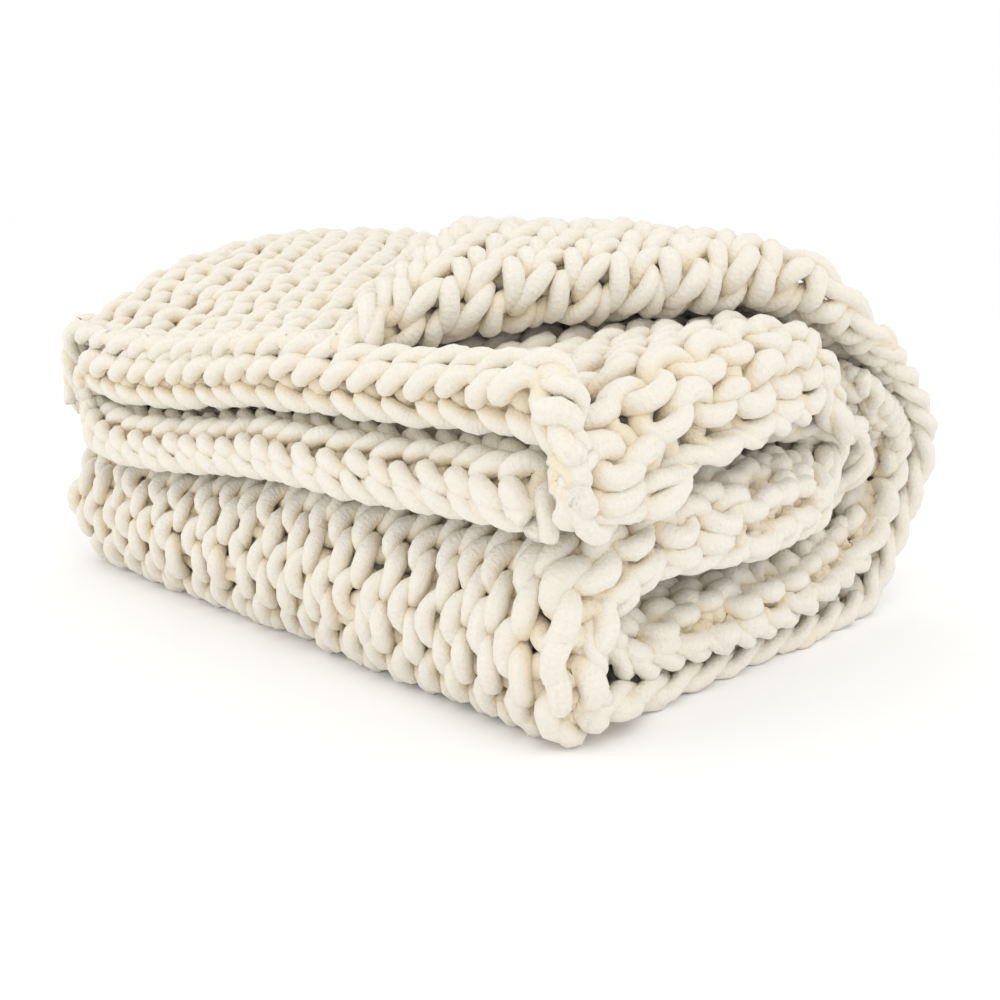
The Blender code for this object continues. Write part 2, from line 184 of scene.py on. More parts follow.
INNER_ENDS = (
    (8.0,  -0.270, 0.300, 0.0, 0.0),
    (14.0, -0.285, 0.302, 58.0, 0.0),
    (18.0, -0.300, 0.303, 70.0, 0.006),
    (22.0, -0.312, 0.306, 82.0, 0.014),
    (26.0, -0.316, 0.300, 76.0, 0.010),
    (28.0, -0.318, 0.298, 55.0, 0.0),
    (30.0, -0.312, 0.286, 25.0, 0.0),
    (32.0, -0.305, 0.268, 0.0, 0.0),
    (34.0, -0.300, 0.264, -5.0, 0.0),
    (36.0, -0.292, 0.276, 10.0, 0.0),
    (38.0, -0.285, 0.298, 58.0, 0.0),
    (40.0, -0.278, 0.305, 74.0, 0.022),
    (42.0, -0.272, 0.310, 84.0, 0.044),
    (44.0, -0.267, 0.313, 86.0, 0.048),
    (46.6, -0.263, 0.315, 86.0, 0.044),
    (48.0, -0.262, 0.313, 84.0, 0.040),
)
BEND_RADIUS = 0.026             # of the right end's bend
DOWN_FROM = 43.0                # from this stitch column on the inner ply's end hangs plumb
DOWN_OVER = 3.0                 # stitch columns over which it comes to hang so
JOIN_SHARE = 0.026              # share of the length that rounds into the joined left end
JOIN_FADE = 2.0                 # stitch columns over which the join dies out at the hidden edge
LEAST_JOIN_RADIUS = 0.0145

# The slanted turn-back of the outer ply's front right corner
TURN_START = np.array([0.070, -0.215])
TURN_END = np.array([0.312, 0.165])
TURN_RADIUS = 0.0150
TURN_WALES = 11.0               # only the top run is turned back
HIDDEN_EDGE_SHIFT = 3.6         # the inner ply's hidden edge draws back behind the turn
HIDDEN_EDGE_FROM = 0.76         # share of the length where it starts to draw back

# The outer ply's front left corner hangs down over the left end
HANG_LENGTH = 0.090             # extra cloth at the free edge
HANG_WALES = 13.0               # stitch columns over which the extra cloth dies out
HANG_SHARE = 0.35               # share of the length over which the extra cloth is drawn out
HANG_EDGE = OUTER_ENDS[0][1]
HANG_RADIUS = 0.032
HANG_ANGLE = math.radians(87)

# Small bends that the whole stack shares, each a sum of waves
# columns: size, waves along x, along y and along z in radians per metre, start in radians
SWAY_Y = ((0.005, 11.0, 0.0, 0.0, 0.6), (0.003, 23.0, 0.0, 9.0, 2.0))
SWELL_Z = ((0.0045, 9.5, 6.0, 0.0, 1.2), (0.003, 21.0, -8.0, 0.0, 0.0))
SLIDE_X = ((0.004, 0.0, 17.0, 12.0, 0.0),)
FLAT_BELOW = 0.030              # cloth below this height doesn't swell: the underside stays flat
FREE_ABOVE = 0.130              # above this height it bends in full
FOOT_SWAY = 0.4                 # share of the sway that the foot of the stack keeps

UP = np.array([0.0, 1.0])       # in the (y, z) of a cross-section

# Charts of the cross-sections and of the top's height
SPLINE_STEPS = 12
CHART_SHARES = np.linspace(0.0, 1.0, 33)
CHART_WALES = np.linspace(0.0, WALES, 481)
CHART_DEPTHS = np.linspace(-0.26, 0.26, 131)
HEADING_STEP = 0.15             # stitch columns each way over which a heading is taken


def smooth(share):
    """Ease from 0 to 1."""
    share = np.clip(share, 0.0, 1.0)
    return share * share * (3.0 - 2.0 * share)


def smooth_line(stops):
    """A smooth curve through the stops, with SPLINE_STEPS points from each stop to the next."""
    stops = np.array(stops)
    guide = np.vstack([2 * stops[0] - stops[1], stops, 2 * stops[-1] - stops[-2]])
    share = np.linspace(0.0, 1.0, SPLINE_STEPS, endpoint=False)[:, None]
    pieces = []
    for before, start, end, after in zip(guide, guide[1:], guide[2:], guide[3:]):
        pieces.append(0.5 * (2 * start + (end - before) * share
                             + (2 * before - 5 * start + 4 * end - after) * share ** 2
                             + (3 * start - 3 * end + after - before) * share ** 3))
    return np.vstack([*pieces, stops[-1:]])


def section_chart(ply):
    """Places (y, z) of a ply by share of the length and by stitch column."""
    left = smooth_line([row[1:3] for row in ply])
    right = smooth_line([row[3:5] for row in ply])
    marked = [k for k, row in enumerate(ply) if row[5] is not None]
    marks = [ply[k][5] for k in marked]
    chart = []
    for share in CHART_SHARES:
        line = left + (right - left) * share
        line[:, 1] = np.maximum(line[:, 1], FLOOR_LEVEL)
        steps = np.linalg.norm(np.diff(line, axis=0), axis=1)
        length = np.concatenate([[0.0], np.cumsum(steps)])
        wales = np.interp(length, length[np.array(marked) * SPLINE_STEPS], marks)
        chart.append(np.stack([np.interp(CHART_WALES, wales, line[:, k]) for k in (0, 1)], axis=1))
    return np.array(chart)


def height_chart(chart):
    """Heights of the top run by share of the length and by depth y."""
    top = chart[:, CHART_WALES <= TURN_WALES]
    return np.array([np.interp(CHART_DEPTHS, line[:, 0], line[:, 1]) for line in top])[..., None]


def read_chart(chart, rows, columns, row, column):
    """Read a chart between its grid points."""
    i_place = (np.clip(row, rows[0], rows[-1]) - rows[0]) / (rows[1] - rows[0])
    j_place = (np.clip(column, columns[0], columns[-1]) - columns[0]) / (columns[1] - columns[0])
    i = np.minimum(i_place.astype(int), len(rows) - 2)
    j = np.minimum(j_place.astype(int), len(columns) - 2)
    u = (i_place - i)[..., None]
    v = (j_place - j)[..., None]
    near = chart[i, j] * (1 - u) + chart[i + 1, j] * u
    far = chart[i, j + 1] * (1 - u) + chart[i + 1, j + 1] * u
    return near * (1 - v) + far * v


OUTER_CHART = section_chart(OUTER_PLY)
INNER_CHART = section_chart(INNER_PLY)
TOP_CHART = height_chart(OUTER_CHART)


def section_place(chart, share, wale):
    """The place (y, z) on a cross-section and the heading of the cross-section there."""
    place = read_chart(chart, CHART_SHARES, CHART_WALES, share, wale)
    ahead = read_chart(chart, CHART_SHARES, CHART_WALES, share, wale + HEADING_STEP)
    behind = read_chart(chart, CHART_SHARES, CHART_WALES, share, wale - HEADING_STEP)
    heading = ahead - behind
    heading /= np.maximum(np.linalg.norm(heading, axis=-1, keepdims=True), 1e-9)
    return place, heading


def end_values(ends, wale):
    """Left end, right end, bend and straight length at a stitch column."""
    table = np.array(ends)
    k = np.clip(np.searchsorted(table[:, 0], wale, side="right") - 1, 0, len(table) - 2)
    share = smooth((wale - table[k, 0]) / (table[k + 1, 0] - table[k, 0]))
    return [table[k, c] + (table[k + 1, c] - table[k, c]) * share for c in (1, 2, 3, 4)]


def turn_back(points):
    """Fold the points of the top run that lie beyond the slanted line back over it."""
    line = (TURN_END - TURN_START) / np.linalg.norm(TURN_END - TURN_START)
    outward = np.array([line[1], -line[0]])
    beyond = (points[..., :2] - TURN_START) @ outward
    angle = np.clip(beyond / TURN_RADIUS, 0.0, math.pi)
    flap = np.maximum(beyond - math.pi * TURN_RADIUS, 0.0)
    shift = TURN_RADIUS * np.sin(angle) - flap - np.maximum(beyond, 0.0)
    plan = points[..., :2] + outward * shift[..., None]
    _, left, right, _, _ = OUTER_ENDS[0]
    share = (plan[..., 0] - left) / (right - left)
    top = read_chart(TOP_CHART, CHART_SHARES, CHART_DEPTHS, share, plan[..., 1])[..., 0]
    height = top + TURN_RADIUS * (1.0 - np.cos(angle))
    turned = np.stack([plan[..., 0], plan[..., 1], height], axis=-1)
    return np.where(beyond[..., None] > 0.0, turned, points)


def hang(points, along, wale):
    """Draw the top run's front left corner out over the left end and let it hang."""
    extra = HANG_LENGTH * (1.0 - smooth(wale / HANG_WALES))
    drawn = extra * np.clip(1.0 - along / HANG_SHARE, 0.0, 1.0) ** 2
    x = points[..., 0] - drawn
    past = np.maximum(HANG_EDGE - x, 0.0)
    angle = np.minimum(past / HANG_RADIUS, HANG_ANGLE)
    straight = np.maximum(past - HANG_RADIUS * HANG_ANGLE, 0.0)
    reach = HANG_RADIUS * np.sin(angle) + straight * math.cos(HANG_ANGLE)
    drop = HANG_RADIUS * (1.0 - np.cos(angle)) + straight * math.sin(HANG_ANGLE)
    hung = np.stack([np.maximum(x, HANG_EDGE) - reach, points[..., 1], points[..., 2] - drop],
                    axis=-1)
    return np.where((drawn > 0.0)[..., None], hung, points)


def waves(table, x, y, z):
    """Sum of a table's waves."""
    return sum(size * np.sin(along_x * x + along_y * y + along_z * z + start)
               for size, along_x, along_y, along_z, start in table)


def slump(points):
    """Bend the stack a little and centre it. The underside stays flat."""
    x, y, z = (points[..., k] for k in range(3))
    lift = smooth((z - FLAT_BELOW) / (FREE_ABOVE - FLAT_BELOW))
    sway = waves(SWAY_Y, x, y, z) * (FOOT_SWAY + (1.0 - FOOT_SWAY) * lift)
    slide = waves(SLIDE_X, x, y, z)
    swell = waves(SWELL_Z, x, y, z) * lift
    return np.stack([x + slide - MIDDLE_X, y + sway - MIDDLE_Y, z + swell], axis=-1)


def cloth_points(outer, along, wale):
    """Points of the middle surface of one ply. along runs from 0, left, to 1, right."""
    outer_yz, outer_heading = section_place(OUTER_CHART, along, wale)
    inner_yz, inner_heading = section_place(INNER_CHART, along, np.maximum(wale, JOINED_FROM))
    yz, heading = (outer_yz, outer_heading) if outer else (inner_yz, inner_heading)
    purl_side = np.stack([-heading[..., 1], heading[..., 0]], axis=-1) * (1.0 if outer else -1.0)
    left = end_values(OUTER_ENDS, wale)[0]
    _, right, curl, straight = end_values(OUTER_ENDS if outer else INNER_ENDS, wale)
    bend = np.radians(np.abs(curl))
    start = right - BEND_RADIUS * np.sin(bend) - straight * np.cos(bend)
    length = start - left + BEND_RADIUS * bend + straight
    x = left + along * length

    half = (outer_yz - inner_yz) / 2
    radius = np.maximum(np.linalg.norm(half, axis=-1), LEAST_JOIN_RADIUS)
    angle = 0.5 * math.pi * np.clip(along / JOIN_SHARE, 0.0, 1.0)
    weight = smooth((wale - JOINED_FROM + JOIN_FADE) / JOIN_FADE)
    middle = (outer_yz + inner_yz) / 2
    yz = yz + (middle - yz) * ((1.0 - np.sin(angle)) * weight)[..., None]
    onward = np.maximum(along - JOIN_SHARE, 0.0) / (1.0 - JOIN_SHARE)
    joined_x = left + radius * (1.0 - np.cos(angle)) + onward * (length - radius)
    x = x + (joined_x - x) * weight

    over = np.maximum(x - start, 0.0)
    turned = np.minimum(over / BEND_RADIUS, bend)
    hanging = over - BEND_RADIUS * turned
    x = np.minimum(x, start) + BEND_RADIUS * np.sin(turned) + hanging * np.cos(bend)
    dip = np.sign(curl) * (BEND_RADIUS * (1.0 - np.cos(turned)) + hanging * np.sin(bend))
    plumb = (0.0 if outer else 1.0) * smooth((wale - DOWN_FROM) / DOWN_OVER)[..., None]
    yz = yz - (purl_side * (1.0 - plumb) + UP * plumb) * dip[..., None]

    points = np.concatenate([x[..., None], yz], axis=-1)
    if outer:
        points = np.where((wale < TURN_WALES)[..., None], turn_back(points), points)
        points = hang(points, along, wale)
    return slump(points)


def hidden_wales(along, wales):
    """Stitch columns of the inner ply with its hidden edge drawn back behind the turn."""
    drawn = HIDDEN_EDGE_SHIFT * smooth((along - HIDDEN_EDGE_FROM) / (1.0 - HIDDEN_EDGE_FROM))
    return wales + drawn * (1.0 - smooth((wales - JOINED_FROM) / (HIDDEN_EDGE_SHIFT * 2)))


# Stitches
ROWS = 22                       # courses in each ply
# How the courses are spread: pitch at the right end over pitch at the left end
# columns: stitch column, ratio of the pitches
SPREAD = ((0.0, 1.0), (8.0, 0.95), (14.0, 0.68), (28.0, 0.68), (34.0, 0.60), (42.0, 0.95),
          (48.0, 1.15))

# Grid of the laid cloth: steps along a course pitch and across a stitch column
GRID_ROWS = 12
GRID_WALES = 8
ALONG_SAMPLES = 420
GATHER = 1.6                    # how much the samples gather at the joined end
OVERHANG_ROWS = 18              # steps of grid past the ends of the courses
OVERHANG_WALES = 8              # steps of grid past the free edges


def row_share(row, wale):
    """Share of a ply's length at a place counted in courses from the joined end."""
    ratio = np.interp(wale, *np.transpose(SPREAD))
    return (row + (ratio - 1.0) * row * row / (2 * ROWS)) / (ROWS * (1.0 + ratio) / 2)


def laid_cloth(outer, wales):
    """Points of a ply at even lengths of cloth from the joined end, for each stitch column."""
    along = np.linspace(0.0, 1.0, ALONG_SAMPLES) ** GATHER
    along, column = np.meshgrid(along, wales, indexing="ij")
    if not outer:
        column = hidden_wales(along, column)
    points = cloth_points(outer, along, column)
    steps = np.linalg.norm(np.diff(points, axis=0), axis=2)
    length = np.vstack([np.zeros(len(wales)), np.cumsum(steps, axis=0)])
    shares = np.linspace(0.0, 1.0, ROWS * GRID_ROWS + 1)
    laid = np.empty((len(shares), len(wales), 3))
    for j in range(len(wales)):
        for k in range(3):
            laid[:, j, k] = np.interp(shares * length[-1, j], length[:, j], points[:, j, k])
    return laid


def extended(grid, count, axis):
    """The grid with count straight steps added at both ends of an axis."""
    grid = np.moveaxis(grid, axis, 0)
    steps = np.arange(1, count + 1).reshape(-1, 1, 1)
    before = grid[0] + (grid[0] - grid[2]) / 2 * steps[::-1]
    after = grid[-1] + (grid[-1] - grid[-3]) / 2 * steps
    return np.moveaxis(np.concatenate([before, grid, after]), 0, axis)


class Ply:
    """The laid middle surface of one ply, read by share of the length, stitch column and depth."""

    def __init__(self, laid, first_wale, side):
        self.grid = extended(extended(laid, OVERHANG_ROWS, 0), OVERHANG_WALES, 1)
        self.normals = side * np.cross(np.gradient(self.grid, axis=0),
                                       np.gradient(self.grid, axis=1))
        self.normals /= np.linalg.norm(self.normals, axis=2, keepdims=True)
        self.shares = (np.arange(self.grid.shape[0]) - OVERHANG_ROWS) / (ROWS * GRID_ROWS)
        self.wales = first_wale + (np.arange(self.grid.shape[1]) - OVERHANG_WALES) / GRID_WALES

    def place(self, share, wale, depth):
        """Points of a line, depth out towards the purl side, and the cloth's normals there."""
        point = read_chart(self.grid, self.shares, self.wales, share, wale)
        normal = read_chart(self.normals, self.shares, self.wales, share, wale)
        normal /= np.linalg.norm(normal, axis=-1, keepdims=True)
        return point + normal * depth[..., None], normal


def lay_ply(outer):
    """One ply of the laid cloth."""
    first = 0.0 if outer else JOINED_FROM
    wales = np.linspace(first, WALES, int((WALES - first) * GRID_WALES) + 1)
    return Ply(laid_cloth(outer, wales), first, 1.0 if outer else -1.0)


# Yarn
FIRST_FOOT = 0.62               # how far the first course reaches down, as a share of the others
LAST_HEAD = 0.60                # and the last course up
UNEVEN_WALE = 0.045             # how uneven the loops are, in stitch columns,
UNEVEN_ROW = 0.09               # in row pitches,
UNEVEN_DEPTH = 0.0010           # in metres
UNEVEN_THICK = 0.05             # and in thickness
LUMPY = 0.055                   # how uneven the yarn is from ring to ring
TURN_STEPS = 9                  # points of the yarn's turn from one course to the next
TURN_BULGE = 0.05               # how far the turn stands out, in stitch columns
TURN_DIP = 0.8                  # how far it dips to the knit side, in loop depths
SIDES = 9                       # sides of the yarn
FINE_STEPS = 28                 # points of the yarn in a stitch that is plainly seen,
PLAIN_STEPS = 20                # in one underneath or further in from the open end,
COARSE_STEPS = 12               # and in one hidden in the stack

PLY_LENGTH = 0.62               # length of a ply, to turn metres into shares of it
LAST_COURSE_END = 0.984         # share of the length where the courses end
ROUGH_FROM = 17.0               # the course from which the loops get more uneven
ROUGH_OVER = 4.0                # courses over which they do
ROUGH_MORE = 0.7                # and by how much
END_PLUMP = 0.21                # how much fuller the yarn is at the bound-off end

# Cords of two twisted strands along the bound-off right end and the free sides, and a thin one
# along the free left end
CORD_RADIUS = 0.0056            # of each strand's middle from the cord's
END_CORD_RADIUS = 0.0036
BIND_OFF_RADIUS = 0.0050
BIND_OFF_PLACE = 0.990
BIND_OFF_TWIST = 1.15           # half turns for each stitch column
BIND_OFF_THICK = 0.96
BIND_OFF_OUT = 0.3              # how far the bind-off reaches past the last stitch, in columns
CORD_OUT = 0.06                 # how far the cord stands out from the last stitch, in columns
CORD_STEPS = 11                 # points of a strand for each course
COLUMN_WIDTH = 0.040            # width of a stitch column, to turn metres into columns
CORD_THICK = 0.92               # thickness of a strand over the yarn's
UNEVEN_CORD = 0.10              # how uneven a strand's distance from the cord's middle is
FREE_END_PLACE = 0.006          # share of the length where the free left end's cord lies


def wave_between(values, place):
    """Read evenly spaced values with a smooth curve between them."""
    k = np.clip(np.floor(place).astype(int), 0, len(values) - 2)
    share = smooth(place - k)
    return values[k] + (values[k + 1] - values[k]) * share


def course(knit, first, last, row, steps_of, chance):
    """One course of loops: share of the length, stitch column, depth and relative thickness."""
    columns = range(int(first), int(last))
    place = np.concatenate([k + np.arange(steps_of(row, k)) / steps_of(row, k) for k in columns])
    place = np.append(place, last)
    turn = 2.0 * math.pi * (place - 0.5)
    nodes = (place - first) * 2
    count = 2 * len(columns) + 2
    end = smooth((row - ROUGH_FROM) / ROUGH_OVER)
    rough = 1.0 + ROUGH_MORE * end
    sizes = np.array([UNEVEN_WALE, UNEVEN_ROW, UNEVEN_DEPTH, UNEVEN_THICK])
    sizes *= knit.unevenness * rough
    sway, reach, depth, thick = (wave_between(chance.normal(0.0, size, count), nodes)
                                 for size in sizes)
    rise = knit.loop_height * np.cos(turn)
    if row == 0:
        rise = np.where(rise < 0.0, rise * FIRST_FOOT, rise)
    if row == ROWS - 1:
        rise = np.where(rise > 0.0, rise * LAST_HEAD, rise)
    wale = place + knit.loop_lean * np.sin(2 * turn) + sway
    share = row_share(row + 0.5 + rise + reach, wale) * LAST_COURSE_END
    depth = depth + knit.loop_depth * np.cos(2 * turn)
    thick = 1.0 + thick + knit.plumpness * np.cos(4 * turn) + END_PLUMP * end
    return np.stack([share, wale, depth, thick], axis=1)


def edge_turn(start, end, outward, dip):
    """The yarn's turn at a free edge, from the end of one course to the start of the next."""
    angle = np.linspace(-0.5 * math.pi, 0.5 * math.pi, TURN_STEPS + 2)[1:-1, None]
    path = (start + end) / 2 + (end - start) / 2 * np.sin(angle)
    path[:, 1] += outward * TURN_BULGE * np.cos(angle[:, 0])
    path[:, 2] -= dip * np.cos(angle[:, 0])
    return path


def knit_courses(knit, first, last, steps_of, seed):
    """The yarn of a ply, to and fro, as one line for each course with the turn before it."""
    chance = np.random.default_rng(seed)
    lines = []
    for row in range(ROWS):
        line = course(knit, first, last, row, steps_of, chance)
        if row % 2:
            line = line[::-1]
        if lines:
            outward = 1.0 if row % 2 else -1.0
            before = lines[-1][-1]
            turn = edge_turn(before, line[0], outward, TURN_DIP * knit.loop_depth)
            line = np.concatenate([before[None], turn, line])
        lines.append(line)
    return lines


def twisted_strands(length, radius, seed, twist=1.0):
    """Two strands twisted by half a turn for each step: place along, across and up for each."""
    chance = np.random.default_rng(seed)
    place = np.linspace(0.0, length, int(length * CORD_STEPS) + 1)
    strands = []
    for start in (0.0, math.pi):
        turn = math.pi * twist * place + start
        slack = wave_between(chance.normal(1.0, UNEVEN_CORD, int(length) + 3), place) * radius
        strands.append((place, slack * np.cos(turn), slack * np.sin(turn)))
    return strands


def side_cord(wale, outward, seed):
    """The two strands of the cord along a free side."""
    lines = []
    for place, across, up in twisted_strands(ROWS - 0.4, CORD_RADIUS, seed):
        column = wale + outward * (CORD_OUT + across / COLUMN_WIDTH)
        share = row_share(0.2 + place, np.full(len(place), wale)) * LAST_COURSE_END
        lines.append(np.stack([share, column, up, np.full(len(place), CORD_THICK)], axis=1))
    return lines


def bind_off_cord(first, last, seed):
    """The two strands of the bind-off along the right end."""
    lines = []
    for place, across, up in twisted_strands(last - first, BIND_OFF_RADIUS, seed,
                                             BIND_OFF_TWIST):
        share = BIND_OFF_PLACE + across / PLY_LENGTH
        lines.append(np.stack([share, first + place, up, np.full(len(place), BIND_OFF_THICK)],
                              axis=1))
    return lines


def end_cord(first, last, seed):
    """The two strands of the thin cord along the free left end."""
    lines = []
    for place, across, up in twisted_strands(last - first, END_CORD_RADIUS, seed):
        share = FREE_END_PLACE + across / PLY_LENGTH
        lines.append(np.stack([share, first + place, up, np.full(len(place), CORD_THICK)], axis=1))
    return lines


def rings(points):
    """Two directions across a line of points at each of them, turning as little as they can."""
    tangents = np.gradient(points, axis=0)
    tangents /= np.linalg.norm(tangents, axis=1, keepdims=True)
    tangents = [Vector(tangent) for tangent in tangents]
    across = tangents[0].orthogonal().normalized()
    sides = []
    for tangent in tangents:
        across = (across - tangent * across.dot(tangent)).normalized()
        sides.append(across)
    ups = [tangent.cross(side) for tangent, side in zip(tangents, sides)]
    return np.array(sides), np.array(ups)


def tube(points, radii):
    """Vertices and quads of a tube round a line of points."""
    side, up = rings(points)
    angle = 2.0 * math.pi * np.arange(SIDES)[None, :, None] / SIDES
    ring = np.cos(angle) * side[:, None, :] + np.sin(angle) * up[:, None, :]
    vertices = (points[:, None, :] + ring * radii[:, None, None]).reshape(-1, 3)
    k = np.arange(len(points) - 1)[:, None] * SIDES
    j = np.arange(SIDES)[None, :]
    after = (j + 1) % SIDES
    quads = np.stack([k + j, k + after, k + SIDES + after, k + SIDES + j], axis=2).reshape(-1, 4)
    return vertices, quads


def yarn_mesh(name, knit, ply, lines, lies_free):
    """Tubes of yarn along lines given by share of the length, stitch column and depth.

    Yarn that lies free of the loops, as a cord does, has the height of the cloth's surface, so it
    gets none of the painted hollow shade.
    """
    chance = np.random.default_rng(knit.seed)
    parts, faces, sizes, along, heights = [], [], [], [], []
    count = 0
    for line in lines:
        apart = np.linalg.norm(np.diff(line[:, :3], axis=0), axis=1) > SAME_POINT
        line = line[np.append(True, apart)]
        points, normals = ply.place(line[:, 0], line[:, 1], line[:, 2])
        thick = line[:, 3] * chance.normal(1.0, LUMPY, len(line)) * knit.yarn_radius
        vertices, quads = tube(points, thick)
        parts.append(vertices)
        faces += [(quads + count).ravel(), count + np.arange(SIDES)[::-1],
                  count + len(vertices) - SIDES + np.arange(SIDES)]
        sizes += [np.full(len(quads), 4), [SIDES, SIDES]]
        steps = np.linalg.norm(np.diff(points, axis=0), axis=1)
        along.append(np.repeat(np.append(0.0, np.cumsum(steps)), SIDES))
        # Heights over the cloth's middle, which set the painted hollow shade deep between the loops
        offsets = vertices.reshape(-1, SIDES, 3) - points[:, None, :]
        over = line[:, 2, None] + (offsets * normals[:, None, :]).sum(axis=2)
        heights.append(np.full(over.size, SURFACE_TO) if lies_free else over.ravel())
        count += len(vertices)
    vertices = np.concatenate(parts)
    vertices[:, 2] = np.maximum(vertices[:, 2], 0.0)
    corners = np.concatenate(faces)
    sizes = np.concatenate(sizes)
    mesh = bpy.data.meshes.new(name)
    mesh.vertices.add(len(vertices))
    mesh.vertices.foreach_set("co", vertices.ravel())
    mesh.loops.add(len(corners))
    mesh.loops.foreach_set("vertex_index", corners)
    mesh.polygons.add(len(sizes))
    mesh.polygons.foreach_set("loop_start", np.cumsum(sizes) - sizes)
    for attribute, values in ((YARN_LENGTH, along), (CLOTH_HEIGHT, heights)):
        data = mesh.attributes.new(attribute, "FLOAT", "POINT").data
        data.foreach_set("value", np.concatenate(values))
    mesh.update(calc_edges=True)
    mesh.validate()
    mesh.shade_smooth()
    return mesh


def add_yarn(context, name, ply, lines, lies_free=False):
    """One piece of yarn in the scene, in its chenille."""
    mesh = yarn_mesh(name, context.scene.blanket_knit, ply, lines, lies_free)
    mesh.materials.append(chenille(context.scene.blanket_chenille))
    piece = bpy.data.objects.new(name, mesh)
    context.scene.collection.objects.link(piece)
    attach(piece, BODY)
    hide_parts(NODE)


def add_courses(context, name, ply, lines, splits):
    """The courses of a ply in bands, each a piece of its own."""
    for start, end in zip(splits, splits[1:]):
        add_yarn(context, f"{name}_courses_{start + 1}_to_{end}", ply,
                 [np.concatenate(lines[start:end])])


def outer_steps(row, wale):
    """Steps of a stitch on the outer ply, fewer where the stack hides it."""
    if row in (0, 1) or row >= ROWS - 4 or wale < 17 or 24 <= wale < 32 or wale >= 43:
        return FINE_STEPS
    return PLAIN_STEPS if wale < 25 else COARSE_STEPS


def inner_steps(row, wale):
    """Steps of a stitch on the inner ply, fewer where the stack hides it."""
    if row == 0 or row >= ROWS - 4 or wale >= 44 or (wale >= 39 and row >= 9):
        return FINE_STEPS
    return PLAIN_STEPS if row >= ROWS - 6 else COARSE_STEPS


def add_node(tree, kind, settings=None, **inputs):
    """A node with its settings and the values of its inputs, named, or i and a number.

    An input's value may be another node's output.
    """
    node = tree.nodes.new(kind)
    for name, value in (settings or {}).items():
        setattr(node, name, value)
    for name, value in inputs.items():
        socket = node.inputs[int(name[1:]) if name[0] == "i" else name]
        if isinstance(value, bpy.types.NodeSocket):
            tree.links.new(value, socket)
        else:
            socket.default_value = value
    return node


def math_node(tree, operation, first, second=0.0, third=0.0):
    """The result of a sum on one to three values."""
    return add_node(tree, "ShaderNodeMath", {"operation": operation}, i0=first, i1=second,
                    i2=third).outputs[0]


def mix_colour(tree, share, first, second):
    """A mix of two colours."""
    return add_node(tree, "ShaderNodeMix", {"data_type": "RGBA"}, i0=share, i6=first,
                    i7=second).outputs[2]


def chenille(settings):
    """Velvety yarn: pile in rings round the thread, and painted shade, warmer, low in the pile and
    deep between the loops.
    """
    material = bpy.data.materials.get("cream_chenille")
    if material:
        return material
    material = bpy.data.materials.new("cream_chenille")
    material.use_nodes = True
    tree = material.node_tree
    shader = tree.nodes["Principled BSDF"]
    place = add_node(tree, "ShaderNodeTexCoord").outputs["Object"]
    length = add_node(tree, "ShaderNodeAttribute", {"attribute_name": YARN_LENGTH}).outputs["Fac"]

    pile = add_node(tree, "ShaderNodeTexNoise", Vector=place, Scale=1.0 / settings.pile_size,
                    Detail=1.0, Roughness=0.5).outputs["Fac"]
    tufts = add_node(tree, "ShaderNodeTexNoise", Vector=place, Scale=TUFT_SCALE / settings.pile_size,
                     Detail=1.0, Roughness=0.5).outputs["Fac"]
    rings_apart = math_node(tree, "MULTIPLY", length, 2.0 * math.pi / settings.ring_spacing)
    wander = math_node(tree, "MULTIPLY_ADD", tufts, RING_WANDER, rings_apart)
    ring = math_node(tree, "MULTIPLY_ADD", math_node(tree, "SINE", wander), 0.5, 0.5)
    raised = math_node(tree, "MULTIPLY_ADD", tufts, 1.0,
                       math_node(tree, "MULTIPLY", pile, PILE_HEIGHT))
    height = math_node(tree, "MULTIPLY_ADD", ring, RING_HEIGHT, raised)
    bump = add_node(tree, "ShaderNodeBump", Strength=RELIEF_STRENGTH, Distance=settings.pile_depth,
                    Height=height).outputs["Normal"]

    patches = add_node(tree, "ShaderNodeTexNoise", Vector=place, Scale=PATCH_SCALE,
                       Detail=2.0).outputs["Fac"]
    # Painted shade: the colour turns to the darker shade colour where the pile's relief is low; the
    # faint patches are a real tone that differs at random
    low = math_node(tree, "SUBTRACT", LOW_FROM, height)
    shade = math_node(tree, "MULTIPLY_ADD", patches, PATCH_SHADE,
                      math_node(tree, "MULTIPLY", low, LOW_SHADE))
    share = add_node(tree, "ShaderNodeClamp", Value=shade, Min=0.0, Max=1.0).outputs[0]
    colour = mix_colour(tree, share, (*settings.colour, 1.0), (*settings.shade, 1.0))
    # Painted hollow shade: a warmer, darker colour where the yarn lies near the cloth's middle, deep
    # between the loops, where shade falls
    inside = add_node(tree, "ShaderNodeAttribute", {"attribute_name": CLOTH_HEIGHT}).outputs["Fac"]
    hollow_shade_share = add_node(tree, "ShaderNodeMapRange", {"interpolation_type": "SMOOTHSTEP"},
                      i0=math_node(tree, "ABSOLUTE", inside), i1=SURFACE_FROM, i2=SURFACE_TO,
                      i3=1.0, i4=0.0).outputs[0]
    colour = mix_colour(tree, hollow_shade_share, colour, (*settings.hollow_shade, 1.0))
    tree.links.new(colour, shader.inputs["Base Color"])
    tree.links.new(bump, shader.inputs["Normal"])
    shader.inputs["Roughness"].default_value = 0.95
    shader.inputs["Specular IOR Level"].default_value = 0.15
    shader.inputs["Sheen Weight"].default_value = settings.sheen
    shader.inputs["Sheen Roughness"].default_value = 0.45
    shader.inputs["Sheen Tint"].default_value = SHEEN_TINT
    return material


